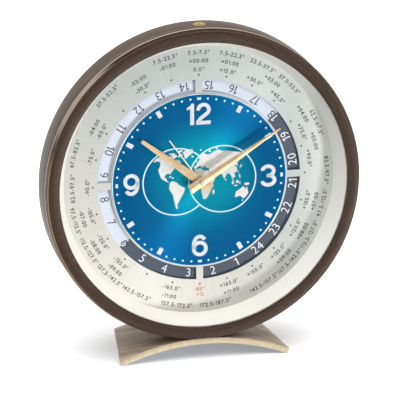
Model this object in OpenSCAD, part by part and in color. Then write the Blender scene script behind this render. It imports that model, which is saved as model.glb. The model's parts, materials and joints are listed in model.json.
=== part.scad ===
// World time clock: a round wooden case that leans back a little on an arched brass base.
// Drum frame: x to the viewer's right, y up the face, z out of the dial, zero on the dial face.

/* [Case] */
// Outer diameter of the wooden case
case_d = 184; // [176:1:196]
// Thickness of the wooden wall
case_wall = 6; // [5.6:0.1:6.6]
// Depth of the well from the case front to the dial face
well_depth = 13.8; // [12.6:0.2:16]
// Depth of the case behind the dial face
case_back = 9; // [6.2:0.2:9.6]
// Width of the front lip that holds the crystal
lip_w = 1.9; // [1.2:0.1:2.4]
// Thickness of the front lip
lip_t = 1; // [0.8:0.1:1.6]
// Width of the bevel round the front edge
bevel_w = 1; // [0.8:0.1:1.8]
// Height of the bevel round the front edge
bevel_h = 3.4; // [1:0.1:4]
// Thickness of the flat crystal
crystal_t = 1.6; // [1.2:0.1:2.4]

/* [Dial] */
// Width of the conical surround, seen from the front
surround_w = 4.9; // [4.2:0.1:6]
// Thickness of the silver dial plate
dial_t = 0.8; // [0.6:0.1:1]
// Wall of the conical surround
surround_t = 1; // [0.8:0.1:1.3]
// Width of the seat that clamps the dial under the surround
surround_seat = 2.6; // [2.2:0.1:2.8]
// Width of the silver band outside the windows
band_w = 19.7; // [18:0.1:21]
// Width of the windows over the 24 hour ring
window_w = 7.5; // [6:0.1:8.4]
// Width of the silver line between the windows and the centre dial
line_w = 2; // [1.4:0.1:2.6]
// Width of the four bridges across the windows
bridge_w = 4; // [3:0.1:5]
// Thickness of the blue centre dial
centre_dial_t = 0.6; // [0.4:0.1:0.9]
// Height of the numerals at 12, 3, 6 and 9
numeral_h = 13; // [11:0.2:14]
// Stroke of the numerals
numeral_s = 2.1; // [1.8:0.1:2.6]
// Distance of the middle of 12 and 6 from the edge of the centre dial
numeral_in = 10.5; // [9.9:0.1:12]
// Distance of the middle of 3 and 9 from the edge of the centre dial
numeral_side_in = 9.7; // [9.3:0.1:12]
// Width of the hour bars
bar_w = 2.7; // [2:0.1:3.4]
// Length of the hour bars
bar_l = 4.3; // [3:0.1:5]
// Distance of the hour bars from the edge of the centre dial
bar_in = 1; // [0.8:0.1:3]
// Height of the numerals and bars above the centre dial
marker_t = 0.35; // [0.2:0.05:0.6]

/* [World ring] */
// Gap between the silver dial and the 24 hour ring
ring_gap = 0.8; // [0.7:0.1:1]
// Thickness of the 24 hour ring
ring_t = 0.8; // [0.7:0.1:1]
// Width of the ring hidden outside the windows
ring_margin = 1.7; // [1:0.1:2.5]
// Running gap round the ring
ring_clear = 0.3; // [0.2:0.05:0.5]
// Width of the 24 hour ring
ring_w = 15.98; // [15.2:0.02:16.8]
// Thickness of the toothed ring
world_gear_t = 2.2; // [2:0.1:2.4]
// Width of metal behind the teeth of the toothed ring
world_rim = 3; // [2.5:0.1:3.4]

/* [Hands] */
// Direction of the minute hand, clockwise from 12
minute_angle = 58.3; // [0:0.1:359]
// Direction of the hour hand, clockwise from 12
hour_angle = 307.5; // [0:0.1:359]
// Direction of the alarm hand, clockwise from 12
alarm_angle = 324.7; // [0:0.1:359]
// Length of the minute hand from the centre
minute_len = 54.8; // [50:0.2:58]
// Length of the hour hand from the centre
hour_len = 43.2; // [36:0.2:46]
// Length of the alarm hand from the centre
alarm_len = 30.8; // [26:0.2:36]
// Width of the hands at the centre
hand_w = 5.4; // [5:0.1:6.4]
// Length of the tail of the hour and minute hands
hand_tail = 7.8; // [6:0.2:9]
// Thickness of the hour and minute hands
hand_t = 0.9; // [0.6:0.1:1.1]
// Height of the alarm hand above the dial face
alarm_hand_z = 2; // [1.6:0.1:2.4]
// Height of the hour hand above the dial face
hour_hand_z = 3.2; // [3:0.1:3.4]
// Height of the minute hand above the dial face
minute_hand_z = 4.8; // [4.6:0.1:5.2]

/* [Movement] */
// Radius of the centre arbor
arbor_r = 1.2; // [1.1:0.05:1.3]
// Wall of the hour tube and of the alarm tube
tube_wall = 0.9; // [0.8:0.05:1]
// Running clearance of a shaft in its hole
run = 0.05; // [0.03:0.01:0.08]
// Free gap between parts that pass each other
play = 0.3; // [0.2:0.05:0.4]
// Thickness of the movement plates
plate_t = 1.5; // [1.2:0.1:2]
// Gap between the front movement plate and the rear cover
plate_gap = 6; // [4:0.2:7]
// Diameter of the rear movement plate
rear_plate_d = 104; // [100:1:110]
// Distance of the plate pillars from the edge of the rear movement plate
pillar_in = 6; // [4:0.2:7]
// Module of the hour wheel and the minute pinion
hour_m = 0.72; // [0.7:0.01:0.74]
// Thickness of the small wheels
wheel_t = 1.4; // [1.2:0.1:1.6]
// Module of the alarm wheels
alarm_m = 1; // [0.95:0.01:1.02]
// Module of the centre wheel and the drive pinion
drive_m = 0.8; // [0.76:0.01:0.84]

/* [Back] */
// Setback of the rear cover's flange from the outside of the case
flange_set = 2; // [1.4:0.1:2.6]
// Width of the rear cover's flange
flange_w = 15; // [13.5:0.5:17]
// Wall of the rear cover
cover_wall = 2; // [1.6:0.1:2.4]
// Depth of the rear cover behind the dial face
cover_depth = 38; // [36.5:0.5:42]
// Radius of the setting knob
set_knob_r = 7; // [6:0.2:8]
// Radius of the alarm knob
alarm_knob_r = 6; // [5:0.2:7]
// Length of both knobs
knob_l = 6; // [5:0.2:8]
// Diameter of the dry cell
cell_d = 14; // [13.5:0.1:14.5]
// Length of the dry cell
cell_l = 50; // [48:0.5:51]
// Height of the dry cell's axis below the centre
cell_drop = 46; // [45:0.5:48]

/* [Alarm button] */
// Radius of the brass ferrule in the top of the case
ferrule_r = 3.5; // [3.2:0.1:4]
// Radius of the button
button_r = 2.3; // [2.1:0.1:2.5]
// Height of the button above the case
button_proud = 0.7; // [0.5:0.1:1.2]
// Travel of the button
button_travel = 1.2; // [0.8:0.1:1.4]
// Distance of the button's axis in front of the dial face
button_z = 1.3; // [0.8:0.1:1.8]

/* [Base] */
// Depth of the base plate from front to back
base_depth = 51; // [46:0.5:56]
// Thickness of the base plate
base_t = 3.4; // [3:0.1:4]
// Radius of the underside of the arch
arch_r = 125; // [118:1:135]
// Width of the foot line at the front
foot_front = 98; // [94:0.5:104]
// Width of the foot line at the back
foot_back = 83; // [80:0.5:88]
// Distance of the base's front edge behind the case front
base_setback = 0.8; // [0:0.1:2]
// Depth that the case is let down over the arch
seat_depth = 0.8; // [0.5:0.1:1.2]
// Height shaved flat along the foot lines
foot_shave = 0.45; // [0.3:0.05:0.7]

/* [Hidden] */
$fn = 96;

case_r = case_d / 2;
bore_r = case_r - case_wall;
mouth_r = bore_r - lip_w;
front_z = well_depth;
back_z = -case_back;
fit_r = bore_r - play;
edge_break = 0.6;

crystal_front = front_z - lip_t;
crystal_back = crystal_front - crystal_t;

dial_r = mouth_r - surround_w;
dial_plate_r = dial_r + surround_seat;
dial_under = -dial_t;
window_or = dial_r - band_w;
window_ir = window_or - window_w;
centre_dial_r = window_ir - line_w;
numeral_r = centre_dial_r - numeral_in;
numeral_side_r = centre_dial_r - numeral_side_in;
bar_end_r = centre_dial_r - bar_in;
marker_z = centre_dial_t;
numeral_w = numeral_h * 0.68;
numeral_gap = numeral_h * 0.12;
numeral_open = 160;
numeral_tail_a = 108;

hour_tube_r = arbor_r + run + tube_wall;
alarm_tube_r = hour_tube_r + run + tube_wall;
dial_hole_r = alarm_tube_r + play;

ring_r = window_or + ring_margin;
ring_top = dial_under - ring_gap;
ring_under = ring_top - ring_t;

// Teeth: counts, pressure angle, share of the pitch that a tooth takes, heights in modules
world_n = 64;
drive_wheel_n = 32;
idler_n = 16;
hour_n = 40;
minute_pinion_n = 10;
minute_n = 36;
cannon_n = 12;
alarm_n = 40;
alarm_pinion_n = 16;
centre_n = 40;
drive_n = 20;
pressure_angle = 25;
tooth_share = 0.86;
tooth_add = 0.8;
tooth_ded = 1.2;

ring_in_r = ring_r - ring_w;
ring_shoulder = 0.4;
world_m = (ring_in_r - ring_shoulder) / (world_n / 2 + tooth_ded);
world_pitch_r = world_m * world_n / 2;
world_root_r = world_pitch_r + tooth_ded * world_m;
world_rim_r = world_root_r + world_rim;
world_gear_back = ring_under - world_gear_t;
drive_wheel_front = ring_under - play;
drive_wheel_back = world_gear_back;
idler_c = world_m * (drive_wheel_n + idler_n) / 2;
idler_at = 90;
post_r = 1.5;
post_shoulder_r = 3;
post_head_t = 0.6;

plate_front = back_z;
plate_back = plate_front - plate_t;
hour_wheel_front = plate_back - 3 * play;
hour_wheel_back = hour_wheel_front - wheel_t;
minute_wheel_front = hour_wheel_back - 2 * wheel_t * 0.7;
minute_wheel_back = minute_wheel_front - wheel_t;
cannon_front = minute_wheel_front + play;
cannon_back = minute_wheel_back - play;
centre_wheel_front = cannon_back - 3 * play;
centre_wheel_back = centre_wheel_front - wheel_t;
rear_plate_front = centre_wheel_back - 4 * play;
rear_plate_back = rear_plate_front - plate_t;
motion_c = hour_m * (hour_n + minute_pinion_n) / 2;
minute_m = 2 * motion_c / (minute_n + cannon_n);
motion_at = 0;
motion_pin_r = 1.2;
clip_t = 0.6;
hour_tube_back = hour_wheel_back - play;

alarm_wheel_front = dial_under - play;
alarm_wheel_back = drive_wheel_front + play;
alarm_c = alarm_m * (alarm_n + alarm_pinion_n) / 2;
alarm_at = 210;
drive_c = drive_m * (centre_n + drive_n) / 2;
drive_at = 60;
drive_shaft_r = 1;
drive_shaft_l = 4;
drive_shaft_back = rear_plate_back - drive_shaft_l;
arbor_front = minute_hand_z + hand_t + 0.7;

pillar_c = rear_plate_d / 2 - pillar_in;
pillar_screw_at = [38, 142, 218, 322];
pillar_rod_r = 2.5;
small_screw_r = 1.1;
small_head_r = 2.1;
small_head_t = 1.1;
flange_r = case_r - flange_set;
cover_r = flange_r - flange_w;
front_plate_r = cover_r - cover_wall - plate_gap;
plate_screw_r = (ring_r + ring_clear + front_plate_r) / 2;
plate_screw_at = [40, 140, 220, 320];
plate_screw_l = 3.4;

flange_back = back_z - cover_wall;
cover_back = -cover_depth;
cover_inside = cover_back + cover_wall;
cover_round = 4;
cover_screw_c = (bore_r + flange_r) / 2;
cover_screw_at = [45, 135, 225, 315];
cover_screw_r = 1.2;
cover_head_r = 1.9;
cover_screw_l = 6;
arbor_hole_r = arbor_r + 2 * play;
knob_front = cover_back - 1.5;
knob_back = knob_front - knob_l;
knob_ribs = 20;

tray_wall = 1.6;
cell_r = cell_d / 2;
cell_fit_r = cell_r + 0.2;
tray_front = rear_plate_back;
tray_back = cover_inside + play;
cell_z = tray_front - tray_wall - cell_fit_r;
cell_nub = 1.2;
contact_t = 0.6;
spring_room = 3.6;
tray_in_l = cell_l + cell_nub + spring_room + 2 * contact_t;
tray_l = tray_in_l + 2 * tray_wall;
cell_x = (spring_room - cell_nub) / 2;
door_l = tray_in_l + 6;
door_w = cell_d + 8;
door_t = 1.8;
door_front = cover_back - 0.1;
door_back = door_front - door_t;
rail_w = 2.2;
rail_lip = 1.2;
rail_t = 1.2;
rail_back = door_back - 0.2 - rail_t;

unit_size = [32, 26, 9];
unit_shift = 3;
coil_r = 5;
coil_l = 18;
cheek_t = 1;
buzzer_r = 12;
buzzer_t = 8;
buzzer_at = 130;
buzzer_in = 15;
buzzer_c = pillar_c - buzzer_in;
slot_l = 16;
slot_gap = 4;
sound_slot_w = 1.8;
board_size = [26, 34, 1.4];
board_corner = [22, -25];
board_lift = 3;
board_post_r = 1.6;
board_can_at = [[7, 8], [16, 9]];
board_can_size = [[3, 7], [4, 9]];
board_block_at = [[5, 18, 0], [12, 18, 0]];
board_block_size = [[3, 9, 2.4], [8, 6, 3]];
switch_size = [9, 9, 5.5];
switch_pin = [3, 2, 2.4];

ferrule_bore_r = button_r + 0.1;
ferrule_floor = bore_r + 1.2;
stem_r = 1.1;
button_top = case_r + button_proud;
button_under = case_r - button_travel - 0.6;
rod_w = 5;
rod_t = 1.3;
rod_top = bore_r - play;
rod_tab_front = button_z + 2.2;
rod_back = ring_under - 1;
rod_tail_y = ring_r + 1.5;
rod_end = plate_back - 3.5;
slot_w = rod_w + 4 * play;
rod_slot_front = rod_back + rod_t + 2 * play;
spring_wire = 0.4;

base_top_y = -(case_r - seat_depth);
arch_y = base_top_y - base_t - arch_r;
arch_out_r = arch_r + base_t;
base_front = front_z - base_setback;
base_back = base_front - base_depth;
foot_front_a = asin(foot_front / 2 / arch_r);
foot_back_a = asin(foot_back / 2 / arch_r);
foot_mid_a = (foot_front_a + foot_back_a) / 2;
foot_splay = atan(arch_r * (foot_front_a - foot_back_a) * PI / 180 / base_depth);
foot_front_y = arch_y + arch_r * cos(foot_front_a);
foot_back_y = arch_y + arch_r * cos(foot_back_a);
lean = atan((foot_back_y - foot_front_y) / base_depth);
base_screw_z = [back_z + 5, front_z - 6];
base_screw_r = 1.6;
base_head_r = 3.2;
base_head_t = 1.6;
base_screw_in = 4.4;

// Place of the drum frame above the floor and between the front and back of the whole clock
function across(y, z) = y * sin(lean) - z * cos(lean);
function above(y, z) = y * cos(lean) + z * sin(lean);
drum_front = min(across(-case_r, front_z - bevel_h), across(-case_r + bevel_w, front_z),
    across(foot_front_y, base_front));
drum_rear = max(across(set_knob_r, knob_back), across(cover_r - cover_round, cover_back));
drum_y = -(drum_front + drum_rear) / 2;
drum_z = -above(foot_front_y, base_front) - foot_shave;

module in_drum() translate([0, drum_y, drum_z]) rotate([90 - lean, 0, 0]) children();

// Turns a piece so that its own +y points along a clock angle
module at_clock(angle) rotate([0, 0, -angle]) children();

module at_polar(r, a) translate([r * cos(a), r * sin(a), 0]) children();

// A disc or tube between two heights, given from front to back
module slab(front, back) translate([0, 0, back]) linear_extrude(front - back) children();

module rod(r, front, back) translate([0, 0, back]) cylinder(r = r, h = front - back);

module tube(r_out, r_in, front, back) slab(front, back) difference() {
    circle(r_out);
    circle(r_in);
}

// Involute teeth. A tooth's half angle at radius r, for n teeth of module m that fill the given share
function inv(a) = tan(a) * 180 / PI - a;
function half_tooth(n, m, r, share) =
    let (base_r = n * m / 2 * cos(pressure_angle))
    share * 90 / n + inv(pressure_angle) - inv(acos(min(1, base_r / r)));
function tooth_outline(n, m, share, ded, add, phase) =
    let (rs = [n * m / 2 - ded * m, n * m / 2, n * m / 2 + add * m])
    [for (i = [0:n - 1]) for (k = [0:5])
        let (side = k < 3 ? -1 : 1, r = rs[k < 3 ? k : 5 - k],
            a = phase + i * 360 / n + side * half_tooth(n, m, r, share))
        [r * cos(a), r * sin(a)]];

// A spur wheel with a tooth centred at the angle phase
module spur(n, m, bore, phase, front, back) slab(front, back) difference() {
    polygon(tooth_outline(n, m, tooth_share, tooth_ded, tooth_add, phase));
    circle(bore);
}

// A wound wire spring along z, from height 0 to len
module wound_spring(r0, r1, wire_r, turns, len) {
    sides = 6;
    steps = turns * 8;
    points = [for (i = [0:steps]) for (j = [0:sides - 1])
        let (a = 360 * turns * i / steps, r = r0 + (r1 - r0) * i / steps + wire_r * cos(60 * j))
        [r * cos(a), r * sin(a), wire_r + (len - 2 * wire_r) * i / steps + wire_r * sin(60 * j)]];
    walls = [for (i = [0:steps - 1]) for (j = [0:sides - 1])
        let (a = i * sides + j, b = i * sides + (j + 1) % sides)
        each [[a, b, b + sides], [a, b + sides, a + sides]]];
    ends = [[for (j = [0:sides - 1]) sides - 1 - j], [for (j = [0:sides - 1]) steps * sides + j]];
    polyhedron(points, concat(walls, ends));
}

// Case and glass
module case_ring() color("#6b5a4e") in_drum() difference() {
    rotate_extrude() polygon([
        [bore_r, back_z], [case_r - edge_break, back_z], [case_r, back_z + edge_break],
        [case_r, front_z - bevel_h], [case_r - bevel_w, front_z], [mouth_r, front_z],
        [mouth_r, crystal_front], [bore_r, crystal_front]]);
    translate([0, arch_y, 0]) rod(arch_out_r, base_front, back_z - 1);
    translate([0, 0, button_z]) rotate([-90, 0, 0]) cylinder(r = ferrule_r, h = case_r + 1);
    for (z = base_screw_z) translate([0, base_top_y + base_screw_in, z]) rotate([90, 0, 0])
        cylinder(r = base_screw_r, h = case_r);
    for (a = cover_screw_at) at_polar(cover_screw_c, a)
        rod(cover_screw_r, back_z + cover_screw_l, back_z - 1);
}

module crystal() color("#dfe9ea", 0.35) in_drum() rod(fit_r, crystal_front, crystal_back);

module dial_surround() color("#ece8df") in_drum() rotate_extrude() polygon([
    [dial_r, 0], [mouth_r, crystal_back], [fit_r, crystal_back], [fit_r, crystal_back - surround_t],
    [mouth_r + surround_t - 0.3, crystal_back - surround_t], [dial_r + surround_t + 0.5, surround_t],
    [dial_plate_r, surround_t], [dial_plate_r, 0]]);

// Dials
module city_dial() color("#c9cdc8") in_drum() slab(0, dial_under) difference() {
    circle(dial_plate_r);
    circle(dial_hole_r);
    difference() {
        circle(window_or);
        circle(window_ir);
        square([2 * dial_r, bridge_w], center = true);
        square([bridge_w, 2 * dial_r], center = true);
    }
}

module centre_dial() color("#1463a5") in_drum() tube(centre_dial_r, dial_hole_r, centre_dial_t, 0);

module stroke_arc(r, a0, a1) polygon([
    for (i = [0:12]) let (a = a0 + (a1 - a0) * i / 12) r * [cos(a), sin(a)],
    for (i = [12:-1:0]) let (a = a0 + (a1 - a0) * i / 12) (r - numeral_s) * [cos(a), sin(a)]]);

module stroke_line(p, q) let (n = [q[1] - p[1], p[0] - q[0]] * numeral_s / 2 / norm(q - p))
    polygon([p + n, q + n, q - n, p - n]);

module numeral_1() {
    translate([-numeral_s / 2, -numeral_h / 2]) square([numeral_s, numeral_h]);
    polygon([[0, numeral_h / 2], [-numeral_s * 1.5, numeral_h / 2 - numeral_s * 0.75],
        [-numeral_s * 1.5, numeral_h / 2 - numeral_s * 1.7], [0, numeral_h / 2 - numeral_s]]);
}

module numeral_2() let (r = numeral_w / 2, turn = 35, mid = r - numeral_s / 2) {
    translate([0, numeral_h / 2 - r]) stroke_arc(r, -turn, 180);
    stroke_line([mid * cos(turn) + 0.3, numeral_h / 2 - r - mid * sin(turn) + 0.3],
        [-r + numeral_s * 0.75, -numeral_h / 2 + numeral_s * 0.6]);
    translate([-r, -numeral_h / 2]) square([numeral_w, numeral_s]);
}

module numeral_3() let (r = (numeral_h + numeral_s) / 4) {
    translate([0, numeral_h / 2 - r]) stroke_arc(r, -90, numeral_open);
    translate([0, r - numeral_h / 2]) stroke_arc(r, -numeral_open, 90);
}

module numeral_6() let (r = numeral_w / 2, tail = numeral_h - r) {
    translate([0, r - numeral_h / 2]) difference() {
        circle(r);
        circle(r - numeral_s);
    }
    translate([tail - r, r - numeral_h / 2]) stroke_arc(tail, numeral_tail_a, 180);
}

module hour_markers() color("#e9e3e0") in_drum() slab(marker_z + marker_t, marker_z) {
    for (hour = [1, 2, 4, 5, 7, 8, 10, 11]) at_clock(30 * hour)
        translate([-bar_w / 2, bar_end_r - bar_l]) square([bar_w, bar_l]);
    translate([-numeral_w / 2 - numeral_gap / 2, numeral_r]) numeral_1();
    translate([numeral_gap + numeral_s / 2, numeral_r]) numeral_2();
    translate([numeral_side_r, 0]) numeral_3();
    translate([0, -numeral_r]) numeral_6();
    translate([-numeral_side_r, 0]) rotate(180) numeral_6();
}

module dial_frame() color("#4a4c4a") in_drum() difference() {
    tube(fit_r, ring_r + ring_clear, dial_under, back_z);
    translate([-slot_w / 2, 0, back_z - 1]) cube([slot_w, case_r, rod_slot_front - back_z + 1]);
    translate([-slot_w / 2, dial_plate_r, back_z - 1]) cube([slot_w, case_r, case_back + 1]);
    for (a = plate_screw_at) at_polar(plate_screw_r, a)
        rod(small_screw_r, back_z + plate_screw_l, back_z - 1);
}

// World ring and the wheels that turn it once a day
module world_ring() color("#8f97a6") in_drum() tube(ring_r, ring_in_r, ring_top, ring_under);

module world_gear() color("#b8954f") in_drum() slab(ring_under, world_gear_back) difference() {
    circle(world_rim_r);
    polygon(tooth_outline(world_n, world_m, 2 - tooth_share, tooth_add, tooth_ded,
        idler_at + 180 / world_n));
}

module idler_gear() color("#b8954f") in_drum() at_polar(idler_c, idler_at)
    spur(idler_n, world_m, post_r + run, idler_at + 180 + 180 / idler_n,
        drive_wheel_front, drive_wheel_back);

module idler_post() color("#9a9c9e") in_drum() at_polar(idler_c, idler_at) {
    rod(post_shoulder_r, drive_wheel_back - play, plate_front);
    rod(post_r, drive_wheel_front + play + post_head_t, plate_front);
    rod(post_shoulder_r, drive_wheel_front + play + post_head_t, drive_wheel_front + play);
}

// Hour hand train
module hand_blade(len, tip_w, bore) difference() {
    polygon([[-hand_w / 2, -hand_tail], [hand_w / 2, -hand_tail], [hand_w / 2, 0], [tip_w / 2, len],
        [-tip_w / 2, len], [-hand_w / 2, 0]]);
    circle(bore);
}

module hour_hand() color("#d9b679") in_drum() at_clock(hour_angle)
    slab(hour_hand_z + hand_t, hour_hand_z) hand_blade(hour_len, 2, hour_tube_r);

module hour_tube() color("#b8954f") in_drum()
    tube(hour_tube_r, arbor_r + run, hour_hand_z + hand_t, hour_tube_back);

module world_drive_wheel() color("#b8954f") in_drum()
    spur(drive_wheel_n, world_m, hour_tube_r, idler_at, drive_wheel_front, drive_wheel_back);

module hour_wheel() color("#b8954f") in_drum()
    spur(hour_n, hour_m, hour_tube_r, motion_at, hour_wheel_front, hour_wheel_back);

module minute_wheel() color("#b8954f") in_drum() at_polar(motion_c, motion_at) {
    spur(minute_n, minute_m, motion_pin_r + run, motion_at + 180 + 180 / minute_n,
        minute_wheel_front, minute_wheel_back);
    spur(minute_pinion_n, hour_m, motion_pin_r + run, motion_at + 180 + 180 / minute_pinion_n,
        plate_back - play, minute_wheel_front);
}

module motion_post() color("#9a9c9e") in_drum() at_polar(motion_c, motion_at) {
    rod(motion_pin_r, plate_back, minute_wheel_back - play - clip_t);
    rod(motion_pin_r + 1, minute_wheel_back - play, minute_wheel_back - play - clip_t);
}

// Minute hand train
module minute_hand() color("#d9b679") in_drum() at_clock(minute_angle)
    slab(minute_hand_z + hand_t, minute_hand_z) hand_blade(minute_len, 0.8, arbor_r);

module centre_arbor() color("#9a9c9e") in_drum() rod(arbor_r, arbor_front, knob_back + 1);

module cannon_pinion() color("#b8954f") in_drum()
    spur(cannon_n, minute_m, arbor_r, motion_at, cannon_front, cannon_back);

module centre_wheel() color("#b8954f") in_drum()
    spur(centre_n, drive_m, arbor_r, drive_at, centre_wheel_front, centre_wheel_back);

module ribbed_knob(r, bore) difference() {
    slab(knob_front, knob_back) polygon([for (i = [0:2 * knob_ribs - 1])
        let (a = i * 180 / knob_ribs, rr = i % 2 == 0 ? r : r - 0.5) rr * [cos(a), sin(a)]]);
    rod(bore, knob_front + 1, knob_back + 1);
}

module set_knob() color("#2b2a2a") in_drum() rotate(90 + minute_angle) ribbed_knob(set_knob_r, arbor_r);

module drive_pinion() color("#b8954f") in_drum() at_polar(drive_c, drive_at) {
    spur(drive_n, drive_m, drive_shaft_r / 2, drive_at + 180 + 180 / drive_n,
        centre_wheel_front, centre_wheel_back);
    rod(drive_shaft_r, centre_wheel_front + play, drive_shaft_back);
}

// Alarm hand train
module alarm_hand() color("#f2f0ea") in_drum() at_clock(alarm_angle)
    slab(alarm_hand_z + 0.4, alarm_hand_z) difference() {
        union() {
            circle(alarm_tube_r + 0.7);
            translate([-0.3, 0]) square([0.6, alarm_len]);
        }
        circle(alarm_tube_r);
    }

module alarm_tube() color("#b8954f") in_drum()
    tube(alarm_tube_r, hour_tube_r + run, alarm_hand_z + 0.4, alarm_wheel_back);

module alarm_wheel() color("#b8954f") in_drum()
    spur(alarm_n, alarm_m, alarm_tube_r, alarm_at, alarm_wheel_front, alarm_wheel_back);

module alarm_pinion() color("#b8954f") in_drum() at_polar(alarm_c, alarm_at)
    spur(alarm_pinion_n, alarm_m, arbor_r, alarm_at + 180 + 180 / alarm_pinion_n,
        alarm_wheel_front, alarm_wheel_back);

module alarm_arbor() color("#9a9c9e") in_drum() at_polar(alarm_c, alarm_at)
    rod(arbor_r, alarm_wheel_front, knob_back + 1);

module alarm_knob() color("#2b2a2a") in_drum() at_polar(alarm_c, alarm_at)
    ribbed_knob(alarm_knob_r, arbor_r);

// Movement frame
module front_plate() color("#c8a862") in_drum() slab(plate_front, plate_back) difference() {
    circle(front_plate_r);
    circle(hour_tube_r + run);
    at_polar(alarm_c, alarm_at) circle(arbor_r + run);
    translate([-slot_w / 2, rod_tail_y - button_travel - 2 * play]) square([slot_w, case_r]);
    for (a = plate_screw_at) at_polar(plate_screw_r, a) circle(small_screw_r);
}

module rear_plate() color("#c8a862") in_drum() slab(rear_plate_front, rear_plate_back) difference() {
    circle(rear_plate_d / 2);
    circle(arbor_r + run);
    at_polar(alarm_c, alarm_at) circle(arbor_r + run);
    at_polar(drive_c, drive_at) circle(drive_shaft_r + run);
    for (a = pillar_screw_at) at_polar(pillar_c, a) circle(small_screw_r);
}

module plate_pillars() color("#b8954f") in_drum() for (a = pillar_screw_at) at_polar(pillar_c, a)
    difference() {
        rod(pillar_rod_r, plate_back, rear_plate_front);
        rod(small_screw_r, rear_plate_front + plate_screw_l, rear_plate_front - 1);
    }

// A cheese-head screw whose head sits on the face at height seat, with its shank towards +z
module cheese_screw(r, head_r, head_t, len, seat) {
    rod(r, seat + len, seat - head_t / 2);
    difference() {
        rod(head_r, seat, seat - head_t);
        translate([-head_r, -head_r * 0.15, seat - head_t * 1.1])
            cube([2 * head_r, head_r * 0.3, head_t * 0.6]);
    }
}

module pillar_screws() color("#a7a9ab") in_drum() for (a = pillar_screw_at) at_polar(pillar_c, a)
    cheese_screw(small_screw_r, small_head_r, small_head_t, plate_t + plate_screw_l, rear_plate_back);

module plate_screws() color("#a7a9ab") in_drum() for (a = plate_screw_at) at_polar(plate_screw_r, a)
    cheese_screw(small_screw_r, small_head_r, small_head_t, plate_t + plate_screw_l, plate_back);

// Drive and electrics, all carried by the rear plate
module drive_unit() color("#d8d4c4") in_drum() at_polar(drive_c, drive_at) difference() {
    translate([-unit_size[0] / 2, -unit_size[1] / 2 + unit_shift, rear_plate_back - unit_size[2]])
        cube(unit_size);
    rod(drive_shaft_r + run, rear_plate_back + 1, drive_shaft_back - 1);
}

module drive_coil() color("#a5562b") in_drum() at_polar(drive_c, drive_at)
    translate([-coil_l / 2, unit_size[1] / 2 + unit_shift + coil_r, rear_plate_back - coil_r])
        rotate([0, 90, 0]) {
            cylinder(r = coil_r - 0.8, h = coil_l);
            for (x = [0, coil_l - cheek_t]) translate([0, 0, x]) cylinder(r = coil_r, h = cheek_t);
        }

module alarm_buzzer() color("#3a3a3c") in_drum() at_polar(buzzer_c, buzzer_at) {
    rod(buzzer_r, rear_plate_back, rear_plate_back - buzzer_t);
    rod(buzzer_r * 0.7, rear_plate_back, rear_plate_back - buzzer_t - 1.2);
}

module on_board() translate([board_corner[0], board_corner[1],
    rear_plate_back - board_lift - board_size[2]]) children();

module circuit_board() color("#5d6b34") in_drum() on_board() {
    cube(board_size);
    for (x = [3, board_size[0] - 9]) translate([x, board_size[1] - 4, board_size[2]])
        cylinder(r = board_post_r, h = board_lift);
}

// Two cans and two blocks that stand on the board's rear face
module board_parts() color("#7d4f2e") in_drum() on_board() mirror([0, 0, 1]) {
    for (i = [0, 1]) translate(board_can_at[i])
        cylinder(r = board_can_size[i][0], h = board_can_size[i][1]);
    for (i = [0, 1]) translate(board_block_at[i]) cube(board_block_size[i]);
}

// Switch under the tail of the stop rod, with its pin just short of the rod's lowest place
module alarm_switch() color("#35322f") in_drum()
    translate([0, rod_tail_y - button_travel - play - switch_pin[1], plate_back - switch_size[2]]) {
        translate([-switch_size[0] / 2, -switch_size[1], 0]) cube(switch_size);
        translate([-switch_pin[0] / 2, 0, 1]) cube(switch_pin);
    }

// Alarm stop button in the top of the case
module button_ferrule() color("#d9bc6c") in_drum() translate([0, 0, button_z]) rotate([-90, 0, 0])
    difference() {
        translate([0, 0, bore_r]) cylinder(r = ferrule_r, h = case_r + 0.2 - bore_r);
        translate([0, 0, ferrule_floor]) cylinder(r = ferrule_bore_r, h = case_wall);
        translate([0, 0, bore_r - 1]) cylinder(r = stem_r + run, h = case_wall);
    }

module stop_button() color("#e3c87c") in_drum() translate([0, 0, button_z]) rotate([-90, 0, 0])
    difference() {
        union() {
            translate([0, 0, button_under]) cylinder(r = button_r, h = button_top - button_under);
            translate([0, 0, rod_top]) cylinder(r = stem_r, h = button_under - rod_top);
        }
        translate([0, 0, button_top - 0.5]) cylinder(r = 0.6, h = 1);
    }

module button_spring() color("#a7a9ab") in_drum() translate([0, ferrule_floor, button_z])
    rotate([-90, 0, 0]) wound_spring(stem_r + 0.6, stem_r + 0.6, spring_wire / 2, 4,
        button_under - ferrule_floor);

module stop_rod() color("#9a9c9e") in_drum() {
    translate([-rod_w / 2, rod_top - rod_t, rod_back]) cube([rod_w, rod_t, rod_tab_front - rod_back]);
    translate([-rod_w / 2, rod_tail_y, rod_back]) cube([rod_w, rod_top - rod_tail_y, rod_t]);
    translate([-rod_w / 2, rod_tail_y, rod_end]) cube([rod_w, rod_t, rod_back + rod_t - rod_end]);
}

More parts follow.
